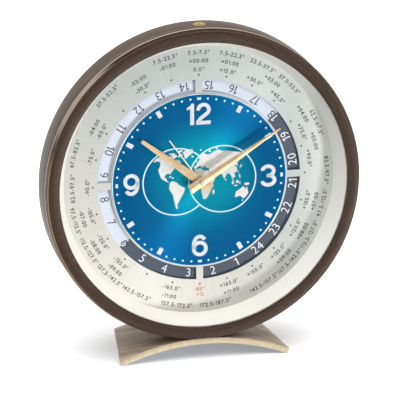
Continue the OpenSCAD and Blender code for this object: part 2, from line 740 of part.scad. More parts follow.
// Rear cover, battery and its door
module rear_cover() color("#3b342f") in_drum() difference() {
    union() {
        tube(flange_r, cover_r - cover_wall, back_z, flange_back);
        rotate_extrude() polygon(concat(
            [[cover_r - cover_wall, back_z], [cover_r, back_z]],
            [for (i = [0:4]) [cover_r - cover_round * (1 - cos(22.5 * i)),
                cover_back + cover_round * (1 - sin(22.5 * i))]],
            [[0, cover_back], [0, cover_inside]],
            [for (i = [4:-1:0]) [cover_r - cover_round + (cover_round - cover_wall) * cos(22.5 * i),
                cover_back + cover_round - (cover_round - cover_wall) * sin(22.5 * i)]]));
        for (side = [0, 1]) translate([-door_l / 2, -cell_drop, rail_back]) mirror([0, side, 0])
            translate([0, door_w / 2, 0]) {
                translate([0, play, 0]) cube([door_l, rail_w, cover_back + 0.5 - rail_back]);
                translate([0, -rail_lip, 0]) cube([door_l, rail_w + rail_lip + play, rail_t]);
            }
    }
    rod(arbor_hole_r, cover_inside + 1, cover_back - 1);
    at_polar(alarm_c, alarm_at) rod(arbor_hole_r, cover_inside + 1, cover_back - 1);
    translate([-tray_in_l / 2, -cell_drop - cell_fit_r, cover_back - 1])
        cube([tray_in_l, 2 * cell_fit_r, cover_wall + 2]);
    for (i = [-2:2]) at_polar(buzzer_c, buzzer_at)
        translate([-slot_l / 2, slot_gap * i - sound_slot_w / 2, cover_back - 1])
            cube([slot_l, sound_slot_w, cover_wall + 2]);
    for (a = cover_screw_at) at_polar(cover_screw_c, a)
        rod(cover_screw_r + play, back_z + 1, flange_back - 1);
}

module cover_screws() color("#b9975a") in_drum() for (a = cover_screw_at) at_polar(cover_screw_c, a)
    cheese_screw(cover_screw_r, cover_head_r, small_head_t, cover_wall + cover_screw_l, flange_back);

module battery_box() color("#2e2c2b") in_drum() difference() {
    translate([-tray_l / 2, -cell_drop - cell_fit_r - tray_wall, tray_back])
        cube([tray_l, 2 * (cell_fit_r + tray_wall), tray_front - tray_back]);
    translate([-tray_in_l / 2, -cell_drop, cell_z]) rotate([0, 90, 0])
        cylinder(r = cell_fit_r, h = tray_in_l);
    translate([-tray_in_l / 2, -cell_drop - cell_fit_r, tray_back - 1])
        cube([tray_in_l, 2 * cell_fit_r, cell_z - tray_back + 1]);
}

module battery_cell() color("#9a7a3c") in_drum() translate([cell_x - cell_l / 2, -cell_drop, cell_z])
    rotate([0, 90, 0]) {
        cylinder(r = cell_r, h = cell_l);
        cylinder(r = 2.6, h = cell_l + cell_nub);
    }

module battery_contacts() color("#b9bbbd") in_drum() translate([0, -cell_drop, cell_z]) {
    for (x = [-tray_in_l / 2, tray_in_l / 2 - contact_t]) translate([x, 0, 0]) rotate([0, 90, 0])
        cylinder(r = cell_r - 0.5, h = contact_t);
    translate([-tray_in_l / 2 + contact_t, 0, 0]) rotate([0, 90, 0])
        wound_spring(cell_r - 2, 2, spring_wire / 2, 3, spring_room);
}

module battery_door() color("#463e38") in_drum() {
    translate([-door_l / 2, -cell_drop - door_w / 2, door_back]) cube([door_l, door_w, door_t]);
    for (i = [0:3]) translate([door_l / 2 - 8 - 2.4 * i, -cell_drop - door_w / 4, door_back - 0.6])
        cube([1, door_w / 2, 0.8]);
}

// Arched base
module base_end_cut(side) translate([0, arch_y, base_back + base_depth / 2])
    rotate([0, 0, -side * foot_mid_a]) translate([0, arch_r, 0]) rotate([0, side * foot_splay, 0])
        translate([side > 0 ? 0 : -case_r, -base_t * 2, -base_depth])
            cube([case_r, base_t * 6, 2 * base_depth]);

module base_plate() color("#9c8455") difference() {
    in_drum() difference() {
        translate([0, arch_y, 0]) intersection() {
            tube(arch_out_r, arch_r, base_front, base_back);
            translate([-case_r, 0, base_back]) cube([case_d, 2 * arch_r, base_depth]);
        }
        base_end_cut(1);
        base_end_cut(-1);
        for (z = base_screw_z) translate([0, base_top_y + 1, z]) rotate([90, 0, 0]) {
            cylinder(r = base_screw_r, h = base_t + 3);
            translate([0, 0, 1 + base_t - base_head_t])
                cylinder(r = base_head_r + 0.2, h = base_head_t + 2);
        }
    }
    translate([-case_r, -case_r, -case_r]) cube([case_d, case_d, case_r]);
}

module base_screws() color("#c9b27a") in_drum() for (z = base_screw_z)
    translate([0, base_top_y - base_t, z]) rotate([-90, 0, 0])
        cheese_screw(base_screw_r, base_head_r, base_head_t - 0.2,
            base_t - base_head_t + base_screw_in, base_head_t);

case_ring();
crystal();
dial_surround();
city_dial();
centre_dial();
hour_markers();
dial_frame();
world_ring();
world_gear();
idler_gear();
idler_post();
hour_hand();
hour_tube();
world_drive_wheel();
hour_wheel();
minute_wheel();
motion_post();
minute_hand();
centre_arbor();
cannon_pinion();
centre_wheel();
set_knob();
drive_pinion();
alarm_hand();
alarm_tube();
alarm_wheel();
alarm_pinion();
alarm_arbor();
alarm_knob();
front_plate();
rear_plate();
plate_pillars();
pillar_screws();
plate_screws();
drive_unit();
drive_coil();
alarm_buzzer();
circuit_board();
board_parts();
alarm_switch();
button_ferrule();
stop_button();
button_spring();
stop_rod();
rear_cover();
cover_screws();
battery_box();
battery_cell();
battery_contacts();
battery_door();
base_plate();
base_screws();
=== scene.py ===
import json
import math
import bmesh
import bpy
from mathutils import Euler, Matrix, Vector


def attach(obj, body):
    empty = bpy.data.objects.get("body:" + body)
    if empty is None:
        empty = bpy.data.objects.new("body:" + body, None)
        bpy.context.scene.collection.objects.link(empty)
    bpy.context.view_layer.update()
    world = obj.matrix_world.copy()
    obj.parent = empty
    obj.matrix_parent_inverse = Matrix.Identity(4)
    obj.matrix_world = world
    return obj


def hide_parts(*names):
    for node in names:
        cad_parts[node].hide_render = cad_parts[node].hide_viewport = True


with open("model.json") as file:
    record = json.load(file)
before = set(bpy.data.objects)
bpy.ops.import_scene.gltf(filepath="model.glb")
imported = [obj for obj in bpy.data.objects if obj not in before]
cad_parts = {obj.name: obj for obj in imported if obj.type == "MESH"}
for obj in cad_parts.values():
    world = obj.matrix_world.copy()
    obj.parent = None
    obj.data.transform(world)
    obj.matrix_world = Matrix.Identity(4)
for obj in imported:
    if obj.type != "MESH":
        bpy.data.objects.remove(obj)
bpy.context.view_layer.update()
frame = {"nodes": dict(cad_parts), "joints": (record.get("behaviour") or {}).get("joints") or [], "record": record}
slotOf = {part["node"]: part["material_slot"] for part in frame["record"]["subparts"]}
print("frame loaded")

# The dial's own axes in millimetres: x to the right, y up the dial, z out of it, zero on its silver face
turnJoint = next(joint for joint in frame["joints"] if joint["name"] == "minute_turn")
hub = Vector(turnJoint["pos_m"])
dialOut = -Vector(turnJoint["axis"]).normalized()
dialRight = Vector((1, 0, 0))
dialUp = dialOut.cross(dialRight)
dialTurn = Matrix((dialRight, dialUp, dialOut)).transposed()
dialPlace = Matrix.Translation(hub) @ dialTurn.to_4x4() @ Matrix.Scale(0.001, 4)
archCentre = Vector((0, -219.6, 0))
tau = 2 * math.pi


def linked(name, data):
    item = bpy.data.objects.new(name, data)
    bpy.context.scene.collection.objects.link(item)
    return item


def asData(name, mesh):
    data = bpy.data.meshes.new(name)
    mesh.to_mesh(data)
    mesh.free()
    return data


# Camera

cameraSettings = {
    "turn": (17.11, 12.66, 4.14),    # degrees between the dial's axes and the camera's
    "offset": (-0.44, 12.33),        # hub to the right of and above the view's centre, mm
    "distance": 2348.6,              # along the view, mm
    "lens": 366.97,                  # mm
    "sensor": 36,                    # mm
    "clip": (0.05, 100),             # m
}


def makeCamera(spec):
    data = bpy.data.cameras.new("camera")
    data.lens = spec["lens"]
    data.sensor_width = spec["sensor"]
    data.clip_start, data.clip_end = spec["clip"]
    view = linked("camera", data)
    back = Euler([math.radians(a) for a in spec["turn"]], "XYZ").to_matrix().transposed()
    right, up = spec["offset"]
    place = dialPlace @ (back @ Vector((-right, -up, spec["distance"])))
    view.matrix_world = Matrix.Translation(place) @ (dialTurn @ back).to_4x4()
    bpy.context.scene.camera = view


makeCamera(cameraSettings)
print("camera placed")

# Shader building


def tone(code):
    parts = [int(code[i:i + 2], 16) / 255 for i in (1, 3, 5)]
    linear = [p / 12.92 if p <= 0.04045 else ((p + 0.055) / 1.055) ** 2.4 for p in parts]
    return (*linear, 1.0)


def feed(socket, value):
    if isinstance(value, bpy.types.NodeSocket):
        socket.id_data.links.new(value, socket)
    else:
        socket.default_value = value


# A new node, in the tree that its values come from
def wired(kind, values, out=0, **settings):
    values = list(values)
    tree = next(value.id_data for _, value in values if isinstance(value, bpy.types.NodeSocket))
    node = tree.nodes.new("ShaderNode" + kind)
    for name, value in settings.items():
        setattr(node, name, value)
    for key, value in values:
        feed(node.inputs[key], value)
    return node.outputs[out]


def calc(operation, *values):
    return wired("Math", enumerate(values), operation=operation)


def plus(first, second):
    return calc("ADD", first, second)


def minus(first, second):
    return calc("SUBTRACT", first, second)


def times(first, second):
    return calc("MULTIPLY", first, second)


def divided(first, second):
    return calc("DIVIDE", first, second)


def apart(first, second):
    return calc("ABSOLUTE", minus(first, second))


def reach(x, y):
    return calc("SQRT", plus(times(x, x), times(y, y)))


def mixed(mask, first, second, blend="MIX"):
    return wired("Mix", ((0, mask), (6, first), (7, second)), 2, data_type="RGBA", blend_type=blend)


def shaded(mask, codes):
    return mixed(mask, tone(codes[0]), tone(codes[1]))


def ranged(value, low, high, start=0.0, end=1.0, kind="SMOOTHSTEP"):
    return wired("MapRange", enumerate((value, low, high, start, end)), interpolation_type=kind)


def noise(place, scale, detail=3.0, rough=0.5):
    return wired("TexNoise", (("Vector", place), ("Scale", scale), ("Detail", detail),
                              ("Roughness", rough)))


def joined(x, y, z):
    return wired("CombineXYZ", enumerate((x, y, z)))


def parted(vector):
    return wired("SeparateXYZ", ((0, vector),)).node.outputs


def bumped(height, distance):
    return wired("Bump", (("Height", height), ("Distance", distance), ("Strength", 1.0)))


def newGroup(name, inputs, outputs):
    group = bpy.data.node_groups.new(name, "ShaderNodeTree")
    for label, value in inputs.items():
        kind = "Color" if isinstance(value, tuple) else "Float"
        socket = group.interface.new_socket(label, in_out="INPUT", socket_type="NodeSocket" + kind)
        socket.default_value = value
    for label, kind in outputs.items():
        group.interface.new_socket(label, in_out="OUTPUT", socket_type="NodeSocket" + kind)
    return group, group.nodes.new("NodeGroupInput").outputs, group.nodes.new("NodeGroupOutput").inputs


def placed(tree, group, values=None):
    node = tree.nodes.new("ShaderNodeGroup")
    node.node_tree = group
    for name, value in (values or {}).items():
        feed(node.inputs[name], value)
    return node.outputs


# Places on the dial, in mm: Turn runs clockwise from 12 in radians, Ray is the direction from the hub
def makeDialCoords():
    group, _, out = newGroup("dialCoords", {}, {
        "Place": "Vector", "Radius": "Float", "Turn": "Float", "Out": "Float", "Ray": "Vector"})
    source = group.nodes.new("ShaderNodeTexCoord").outputs["Object"]
    mapping = group.nodes.new("ShaderNodeMapping")
    back = dialTurn.transposed()
    feed(mapping.inputs["Vector"], source)
    mapping.inputs["Location"].default_value = back @ (hub * -1000)
    mapping.inputs["Rotation"].default_value = back.to_euler("XYZ")
    mapping.inputs["Scale"].default_value = (1000, 1000, 1000)
    place = mapping.outputs[0]
    x, y, z = parted(place)
    radius = reach(x, y)
    safe = calc("MAXIMUM", radius, 0.01)
    ray = joined(divided(x, safe), divided(y, safe), 0.0)
    turn = calc("ARCTAN2", x, y)
    for label, value in (("Place", place), ("Radius", radius), ("Turn", turn), ("Out", z), ("Ray", ray)):
        feed(out[label], value)
    return group


dialCoords = makeDialCoords()

# Uneven colour, gloss and relief of a plain surface: Size is in mm
mottlePattern = {"finer": 14.0, "share": 0.4, "blend": (0.5, 0.9)}


def makeMottle(spec):
    group, given, out = newGroup("mottle", {
        "Colour": (0.5, 0.5, 0.5, 1.0), "Other": (0.4, 0.4, 0.4, 1.0), "Size": 8.0,
        "Gloss": 0.4, "Change": 0.1}, {"Color": "Color", "Roughness": "Float", "Height": "Float"})
    place = placed(group, dialCoords)["Place"]
    coarse = noise(place, divided(1.0, given["Size"]), 4.0)
    fine = noise(place, divided(spec["finer"], given["Size"]), 3.0, 0.6)
    mask = ranged(plus(coarse, times(fine, spec["share"])), *spec["blend"])
    feed(out["Color"], mixed(mask, given["Colour"], given["Other"]))
    spread = times(minus(fine, 0.5), given["Change"])
    feed(out["Roughness"], plus(given["Gloss"], spread))
    feed(out["Height"], fine)
    return group


mottle = makeMottle(mottlePattern)

# Brush marks that run round the case (Round 1) or across it on a slant (Round 0): Width, Length in mm
brushPattern = {"arc": 90.0, "slant": (0.87, 0.5), "broad": 0.22}


def makeBrush(spec):
    group, given, out = newGroup("brush", {"Width": 0.4, "Length": 30.0, "Round": 1.0}, {
        "Fine": "Float", "Broad": "Float"})
    coords = placed(group, dialCoords)
    x, _, z = parted(coords["Place"])
    width, length = given["Width"], given["Length"]
    along = divided(times(coords["Turn"], spec["arc"]), length)
    around = joined(along, divided(coords["Radius"], width), divided(z, width))
    wide, deep = spec["slant"]
    slant = plus(times(x, wide), times(z, deep))
    over = minus(times(z, wide), times(x, deep))
    across = joined(divided(slant, length), divided(over, width), 0.0)
    place = wired("Mix", ((0, given["Round"]), (4, across), (5, around)), 1, data_type="VECTOR")
    feed(out["Fine"], noise(place, 1.0, 4.0, 0.6))
    feed(out["Broad"], noise(place, spec["broad"], 3.0, 0.55))
    return group


brush = makeBrush(brushPattern)


# Fine marks that run out from the hub, as on a brushed dial
def makeRays():
    group, given, out = newGroup("rays", {"Count": 60.0}, {"Fine": "Float"})
    ray = placed(group, dialCoords)["Ray"]
    feed(out["Fine"], noise(ray, given["Count"], 4.0, 0.7))
    return group


rays = makeRays()


def newMaterial(name, **constants):
    material = bpy.data.materials.new(name)
    material.use_nodes = True
    shader = material.node_tree.nodes["Principled BSDF"]
    for label, value in constants.items():
        shader.inputs[label.replace("_", " ")].default_value = value
    return material, material.node_tree, shader


def plainFinish(name, colour, other, size, gloss, metal=0.0, relief=0.00001, change=0.15):
    material, tree, shader = newMaterial(name, Metallic=metal)
    out = placed(tree, mottle, {"Colour": tone(colour), "Other": tone(other), "Size": size,
                                "Gloss": gloss, "Change": change})
    feed(shader.inputs["Base Color"], out["Color"])
    feed(shader.inputs["Roughness"], out["Roughness"])
    feed(shader.inputs["Normal"], bumped(out["Height"], relief))
    return material


# Two colours, size of their patches in mm, roughness, metal, relief in m, change of the roughness
plainFinishes = {
    "applied_markers": ("#d8dfe3", "#cad1d6", 3, 0.38),
    "black_plastic": ("#171717", "#202020", 5, 0.55),
    "wheel_brass": ("#c9a45a", "#b08a45", 6, 0.32, 1.0),
    "steel": ("#b4b6b8", "#9a9c9f", 4, 0.3, 1.0),
    "white_hand": ("#f2eeea", "#e4dfda", 4, 0.4),
    "knob_plastic": ("#151413", "#1f1d1b", 4, 0.35),
    "ivory_plastic": ("#d8d0b8", "#cbc2a8", 9, 0.5),
    "copper_wire": ("#b8683a", "#9a4f28", 1, 0.35, 1.0),
    "circuit_board": ("#3f5a24", "#4c6a2c", 3, 0.45),
    "board_parts": ("#8a5a34", "#5a5048", 5, 0.35),
    "polished_brass": ("#e4cf98", "#d2b878", 2, 0.3, 0.6),
    "cover_plastic": ("#2c2420", "#362c27", 7, 0.52, 0.0, 0.00004),
    "cell_wrap": ("#9a7a3c", "#8c6d34", 6, 0.35, 0.6),
    "bright_ring": ("#d0e0e3", "#bccdd2", 6, 0.3, 0.4),
    "gilt_hands": ("#bca078", "#d4bc96", 7, 0.42, 0.4, 0.000008, 0.2),
    "dark_ink": ("#333532", "#262825", 2, 0.5, 0.0, 0.000002),
    "track_ink": ("#d2eff8", "#c4e4f0", 2, 0.42, 0.0, 0.000002),
    "dot_ink": ("#3a3c3a", "#2c2e2c", 2, 0.5, 0.0, 0.000002),
    "red_ink": ("#c96f6c", "#b86260", 2, 0.5, 0.0, 0.000002),
    "map_ink": ("#dfdedb", "#d0cfcc", 2, 0.42, 0.0, 0.000002),
}

materials = {name: plainFinish(name, *spec) for name, spec in plainFinishes.items()}


def markMask(marks, shares):
    both = plus(times(marks["Fine"], shares[0]), times(marks["Broad"], shares[1]))
    return ranged(both, 0.42, 0.78)


# Gloss follows the fine marks, from the first roughness to the second
def brushed(shader, marks, height, spec):
    feed(shader.inputs["Roughness"], ranged(marks["Fine"], 0.3, 0.7, *spec["roughness"]))
    feed(shader.inputs["Normal"], bumped(height, spec["relief"]))


# Case: dark patina brushed round the ring, with painted highlights on its bevel and corners at the left and upper
# side, and painted shade on the left of its side. Turns are in radians
caseFinish = {
    "brush": {"Width": 0.5, "Length": 22.0, "Round": 1.0},
    "shares": (0.7, 0.5),                # of the fine and the broad marks
    "side": ("#3e352d", "#6a5d51"),      # darker and lighter marks
    "front": ("#2b1e17", "#483529"),
    # colours of the bevel under the painted gold highlight on the left
    "bevel": ("#4c3c28", "#76623e"),
    "sheen": ("#887c70", "#aca092"),     # painted highlight on the bevel at the upper left
    # painted shade: darkens the side on the left
    "leftShade": {"colour": "#2a2119", "turns": (-0.9, -1.4), "share": 0.75},
    "flecks": ({"colour": "#352c1f", "noise": (0.12, 5.0, 0.65), "share": 0.6},
               {"colour": "#1e120c", "noise": (1.1, 3.0, 0.6), "share": 0.55}),
    "fleckBlend": (0.48, 0.62),
    "gold": ((-1.2, -1.45), (-2.7, -2.1)),    # turns at both ends of the painted gold highlight on the left
    "goldMarks": (0.25, 0.45),
    "pale": (-0.93, 0.36, 0.14),         # painted highlight at the upper left: middle turn, then how far off it ends and is full
    # painted highlight along the outer corner of the upper half: middle turn, then how far off it ends and is full
    "upper": (-0.7, 1.9, 1.1),
    "upperGold": 0.15,
    "corners": ((92.0, 10.4, 0.6), (91.0, 13.8, 0.35)),    # radius, height, width of the painted highlight lines
    # colours of the painted highlight lines on the outer and inner corners
    "edgeHighlights": ("#c4b6aa", "#b4966a"),
    "edges": (0.1, 0.12, 0.04),          # mm over which the faces blend
    "roughness": (0.5, 0.36),
    "relief": 0.00004,
}


def makeCaseFinish(spec):
    material, tree, shader = newMaterial("case_wood", Metallic=0.12, Specular_IOR_Level=0.2)
    coords = placed(tree, dialCoords)
    turn, radius, out = coords["Turn"], coords["Radius"], coords["Out"]
    marks = placed(tree, brush, spec["brush"])
    wear = placed(tree, mottle, {"Size": 16.0})
    mask = markMask(marks, spec["shares"])
    # painted shade on the left of the side
    left = spec["leftShade"]
    sideColour = mixed(times(ranged(turn, *left["turns"]), left["share"]),
                       shaded(mask, spec["side"]), tone(left["colour"]))
    frontColour = shaded(mask, spec["front"])
    for fleck in spec["flecks"]:
        spots = ranged(noise(coords["Place"], *fleck["noise"]), *spec["fleckBlend"])
        frontColour = mixed(times(spots, fleck["share"]), frontColour, tone(fleck["colour"]))
    # painted gold highlight on the bevel and inner corner at the left, broken up by the broad marks
    first, last = spec["gold"]
    leftHighlight = times(ranged(turn, *first), ranged(turn, *last))
    leftHighlight = times(leftHighlight, ranged(marks["Broad"], *spec["goldMarks"]))
    # painted highlights: the pale bevel at the upper left and the outer corner line along the upper half
    paleHighlight, upperHighlight = [ranged(apart(turn, spec[name][0]), *spec[name][1:])
                           for name in ("pale", "upper")]
    goldHighlight = calc("MAXIMUM", leftHighlight, times(upperHighlight, spec["upperGold"]))
    (_, outerZ, _), (innerR, innerZ, _) = spec["corners"]
    wide, low, high = spec["edges"]
    onFace = ranged(out, outerZ, outerZ + wide)
    offFront = minus(1.0, times(ranged(out, innerZ - low, innerZ - high),
                                ranged(radius, innerR, innerR - wide)))
    faceColour = frontColour
    for highlight, name in ((leftHighlight, "bevel"), (paleHighlight, "sheen")):
        faceColour = mixed(times(highlight, offFront), faceColour, shaded(mask, spec[name]))
    colour = mixed(onFace, sideColour, faceColour)
    # painted highlight lines along the outer and inner corners
    for corner, highlight, code in zip(spec["corners"], (upperHighlight, goldHighlight), spec["edgeHighlights"]):
        away = plus(apart(radius, corner[0]), apart(out, corner[1]))
        near = ranged(away, corner[2], corner[2] * 0.5)
        colour = mixed(times(near, highlight), colour, tone(code))
    feed(shader.inputs["Base Color"], colour)
    brushed(shader, marks, plus(marks["Fine"], times(wear["Height"], 0.2)), spec)
    return material


materials["case_wood"] = makeCaseFinish(caseFinish)

# Base: the same patina brushed on a slant, worn to bright brass on its edges
baseFinish = {
    "brush": {"Width": 1.1, "Length": 30.0, "Round": 0.0},
    "shares": (0.5, 0.7),
    "top": ("#a4927b", "#d2c0a8"),
    "pale": "#d6c4aa",
    "paleMarks": (0.52, 0.66),
    "under": "#8c8e94",
    "underAt": (125.3, 125.1),           # mm from the arch's axis: the underside lies within
    "edge": ("#aa9a78", "#c8bca2"),
    "stain": "#7d6638",
    "stainMarks": (0.56, 0.68),
    "edgeOut": (12.6, 12.9),             # mm: the front edge begins here
    "roughness": (0.52, 0.36),
    "relief": 0.00003,
}


def makeBaseFinish(spec):
    material, tree, shader = newMaterial("base_brass", Metallic=0.3, Coat_Weight=0.1)
    coords = placed(tree, dialCoords)
    marks = placed(tree, brush, spec["brush"])
    wear = placed(tree, mottle, {"Size": 9.0})
    top = shaded(markMask(marks, spec["shares"]), spec["top"])
    top = mixed(ranged(marks["Broad"], *spec["paleMarks"]), top, tone(spec["pale"]))
    x, y, _ = parted(coords["Place"])
    fromAxis = reach(x, minus(y, archCentre.y))
    top = mixed(ranged(fromAxis, *spec["underAt"]), top, tone(spec["under"]))
    bright = shaded(marks["Fine"], spec["edge"])
    bright = mixed(ranged(wear["Height"], *spec["stainMarks"]), bright, tone(spec["stain"]))
    onEdge = ranged(coords["Out"], *spec["edgeOut"])
    feed(shader.inputs["Base Color"], mixed(onEdge, top, bright))
    brushed(shader, marks, marks["Fine"], spec)
    return material


materials["base_brass"] = makeBaseFinish(baseFinish)

# Cream cone between the silver dial and the case, with painted light making it a little paler to the right
creamFinish = {
    "brush": {"Width": 0.6, "Length": 40.0, "Round": 1.0},
    "colour": ("#efece6", "#e2ded5"),
    # painted light: paler on the right, where the cone lies in shade
    "right": "#fbf9f5",
    "rightLightingAt": (30.0, 80.0),             # mm: x where the painted light begins and is full
    "roughness": (0.37, 0.47),
    "relief": 0.000012,
}


def makeCreamFinish(spec):
    material, tree, shader = newMaterial("surround_cream", Coat_Weight=0.1)
    marks = placed(tree, brush, spec["brush"])
    x = parted(placed(tree, dialCoords)["Place"])[0]
    colour = shaded(marks["Fine"], spec["colour"])
    # painted light makes the right side paler
    feed(shader.inputs["Base Color"],
         mixed(ranged(x, *spec["rightLightingAt"]), colour, tone(spec["right"])))
    brushed(shader, marks, marks["Fine"], spec)
    return material


materials["surround_cream"] = makeCreamFinish(creamFinish)

# Silver and blue dials: metal brushed out from the hub, with painted light that makes the silver warmer and paler
# at the lower left and paler on the right
dialFinishes = {
    # the lower left and right colours of the silver are painted light: paler at the lower left, where its
    # highlight falls, and on the right, where the case shades it
    "silver_dial": {"inner": "#bcc1be", "outer": "#bec3c0", "lowerLeftLighting": "#d0ccc4", "right": "#d8dad4",
                    "radii": (60, 80), "roughness": (0.36, 0.44), "anisotropic": 0.8, "metal": 0.1,
                    "specular": 0.1},
    # on the blue, the lower left colour is a slightly darker painted shade and the right colour is its outer
    # colour
    "blue_dial": {"inner": "#009aa8", "outer": "#005385", "lowerLeftLighting": "#005184", "right": "#005385",
                  "radii": (6, 42), "roughness": (0.27, 0.35), "anisotropic": 0.88, "metal": 0.28,
                  "specular": 0.0},
}
dialMarks = {
    "count": 45.0,
    "slope": 1.5,                        # how much more y counts than x for the painted light at the lower left
    "lowerLeftLightingAt": (60.0, -120.0),
    "lowerLeftLightingShare": 0.9,
    "rightLightingAt": (52.0, 76.0),
    "blend": (0.25, 0.75),
    "shade": (0.94, 1.06),
    "relief": 0.000006,
}


def makeDialFinish(name, spec):
    material, tree, shader = newMaterial(name, Metallic=spec["metal"], Anisotropic=spec["anisotropic"],
                                         Specular_IOR_Level=spec["specular"])
    coords = placed(tree, dialCoords)
    marks = placed(tree, rays, {"Count": spec["count"]})
    x, y, _ = parted(coords["Place"])
    outward = ranged(coords["Radius"], *spec["radii"])
    colour = shaded(outward, (spec["inner"], spec["outer"]))
    # painted light: warmer and paler at the lower left and paler on the right
    low = ranged(plus(x, times(y, spec["slope"])), *spec["lowerLeftLightingAt"])
    colour = mixed(times(low, spec["lowerLeftLightingShare"]), colour, tone(spec["lowerLeftLighting"]))
    colour = mixed(ranged(x, *spec["rightLightingAt"]), colour, tone(spec["right"]))
    shade = ranged(marks["Fine"], *spec["blend"], *spec["shade"], "LINEAR")
    feed(shader.inputs["Base Color"],
         mixed(1.0, colour, joined(shade, shade, shade), "MULTIPLY"))
    brushed(shader, marks, marks["Fine"], spec)
    tangent = tree.nodes.new("ShaderNodeTangent")
    tangent.direction_type = "RADIAL"
    tangent.axis = "Y"
    feed(shader.inputs["Tangent"], tangent.outputs[0])
    return material


for dialName, dialSpec in dialFinishes.items():
    materials[dialName] = makeDialFinish(dialName, {**dialMarks, **dialSpec})

# Ring of 24 hours and its figures: half night, half day; the split turns with the ring
ringFinishes = {
    "ring_print": {"night": ("#2d3848", "#343f50"), "day": ("#ccd4e2", "#d6dce8"),
                   "wear": {"Size": 5.0, "Gloss": 0.48}},
    "ring_ink": {"night": ("#e9ecf0", "#dfe3e8"), "day": ("#30343c", "#3a3e46"),
                 "wear": {"Size": 2.0, "Gloss": 0.5}},
}
ringSplit = math.radians(51.6)           # clockwise from 12


def makeRingFinish(name, spec):
    material, tree, shader = newMaterial(name)
    wear = placed(tree, mottle, spec["wear"])
    x, y, _ = parted(placed(tree, dialCoords)["Place"])
    past = minus(times(x, math.cos(ringSplit)), times(y, math.sin(ringSplit)))
    night, day = [shaded(wear["Height"], spec[half]) for half in ("night", "day")]
    feed(shader.inputs["Base Color"], mixed(calc("GREATER_THAN", past, 0.0), day, night))
    feed(shader.inputs["Roughness"], wear["Roughness"])
    return material


for ringName, ringSpec in ringFinishes.items():
    materials[ringName] = makeRingFinish(ringName, ringSpec)

# Glass: rays that carry light to the dial pass straight through
glassFinish = {"tint": (0.985, 0.992, 0.99, 1.0), "specular": 0.06, "bend": 1.1}


def makeGlass(spec):
    material, tree, shader = newMaterial(
        "crystal_glass", Base_Color=spec["tint"], Roughness=0.0, IOR=spec["bend"],
        Transmission_Weight=1.0, Specular_IOR_Level=spec["specular"])
    path = tree.nodes.new("ShaderNodeLightPath")
    clear = tree.nodes.new("ShaderNodeBsdfTransparent")
    mixer = tree.nodes.new("ShaderNodeMixShader")
    seen = calc("MAXIMUM", path.outputs["Is Camera Ray"], path.outputs["Is Transmission Ray"])
    feed(mixer.inputs[0], seen)
    tree.links.new(clear.outputs[0], mixer.inputs[1])
    tree.links.new(shader.outputs[0], mixer.inputs[2])
    tree.links.new(mixer.outputs[0], tree.nodes["Material Output"].inputs["Surface"])
    return material


materials["crystal_glass"] = makeGlass(glassFinish)
print("materials made")

# CAD nodes keep their shape and take the material of their slot
for node, part in frame["nodes"].items():
    part.data.materials.clear()
    part.data.materials.append(materials[slotOf[node]])

# Shapes: made in the dial's millimetres, then carried to their place


def clockPoint(radius, degrees, height=0.0):
    turn = math.radians(degrees)
    return Vector((radius * math.sin(turn), radius * math.cos(turn), height))


def addLoop(mesh, points):
    verts = [mesh.verts.new(point) for point in points]
    return verts + [mesh.edges.new(pair) for pair in zip(verts, verts[1:] + verts[:1])]


def addRod(mesh, radius, depth, place, segments):
    bmesh.ops.create_cone(mesh, cap_ends=True, cap_tris=False, segments=segments, radius1=radius,
                          radius2=radius, depth=depth, matrix=place)


def addDisc(mesh, radius, centre, low, high, segments=12):
    place = Matrix.Translation((centre.x, centre.y, (low + high) / 2))
    addRod(mesh, radius, high - low, place, segments)


def prism(mesh, outline, low, high):
    verts = [mesh.verts.new((x, y, low)) for x, y in outline]
    face = mesh.faces.new(verts)
    up = bmesh.ops.extrude_face_region(mesh, geom=[face])
    raised = [part for part in up["geom"] if isinstance(part, bmesh.types.BMVert)]
    bmesh.ops.translate(mesh, verts=raised, vec=(0, 0, high - low))


def spun(profile, steps):
    mesh = bmesh.new()
    loop = addLoop(mesh, [(r, 0, z) for r, z in profile])
    bmesh.ops.spin(mesh, geom=loop, cent=(0, 0, 0), axis=(0, 0, 1), angle=tau, steps=steps,
                   use_merge=True)
    return mesh


def softened(mesh, width, sharpest=22):
    mesh.normal_update()
    edges = [e for e in mesh.edges if len(e.link_faces) == 2
             and e.calc_face_angle(0) > math.radians(sharpest)]
    bmesh.ops.bevel(mesh, geom=edges, offset=width, offset_type="OFFSET", segments=2,
                    profile=0.5, affect="EDGES", clamp_overlap=True, material=-1)


def bisected(mesh, point, normal, **options):
    bmesh.ops.bisect_plane(mesh, geom=mesh.verts[:] + mesh.edges[:] + mesh.faces[:],
                           plane_co=point, plane_no=normal, **options)


def finished(name, mesh, body, material, nodes=(), smooth=32):
    bmesh.ops.remove_doubles(mesh, verts=mesh.verts, dist=0.0004)
    bmesh.ops.recalc_face_normals(mesh, faces=mesh.faces)
    data = asData(name, mesh)
    data.transform(dialPlace)
    data.polygons.foreach_set("use_smooth", [True] * len(data.polygons))
    data.set_sharp_from_angle(angle=math.radians(smooth))
    data.materials.append(materials[material])
    piece = linked(name, data)
    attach(piece, body)
    if nodes:
        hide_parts(*nodes)
    return piece


def cutWith(piece, cutters):
    for mesh in cutters:
        bmesh.ops.recalc_face_normals(mesh, faces=mesh.faces)
        data = asData("cutter", mesh)
        data.transform(dialPlace)
        cutter = linked("cutter", data)
        cut = piece.modifiers.new("cut", "BOOLEAN")
        cut.operation = "DIFFERENCE"
        cut.solver = "EXACT"
        cut.object = cutter
        shaped = bpy.data.meshes.new_from_object(
            piece.evaluated_get(bpy.context.evaluated_depsgraph_get()))
        piece.modifiers.clear()
        piece.data = shaped
        bpy.data.objects.remove(cutter)


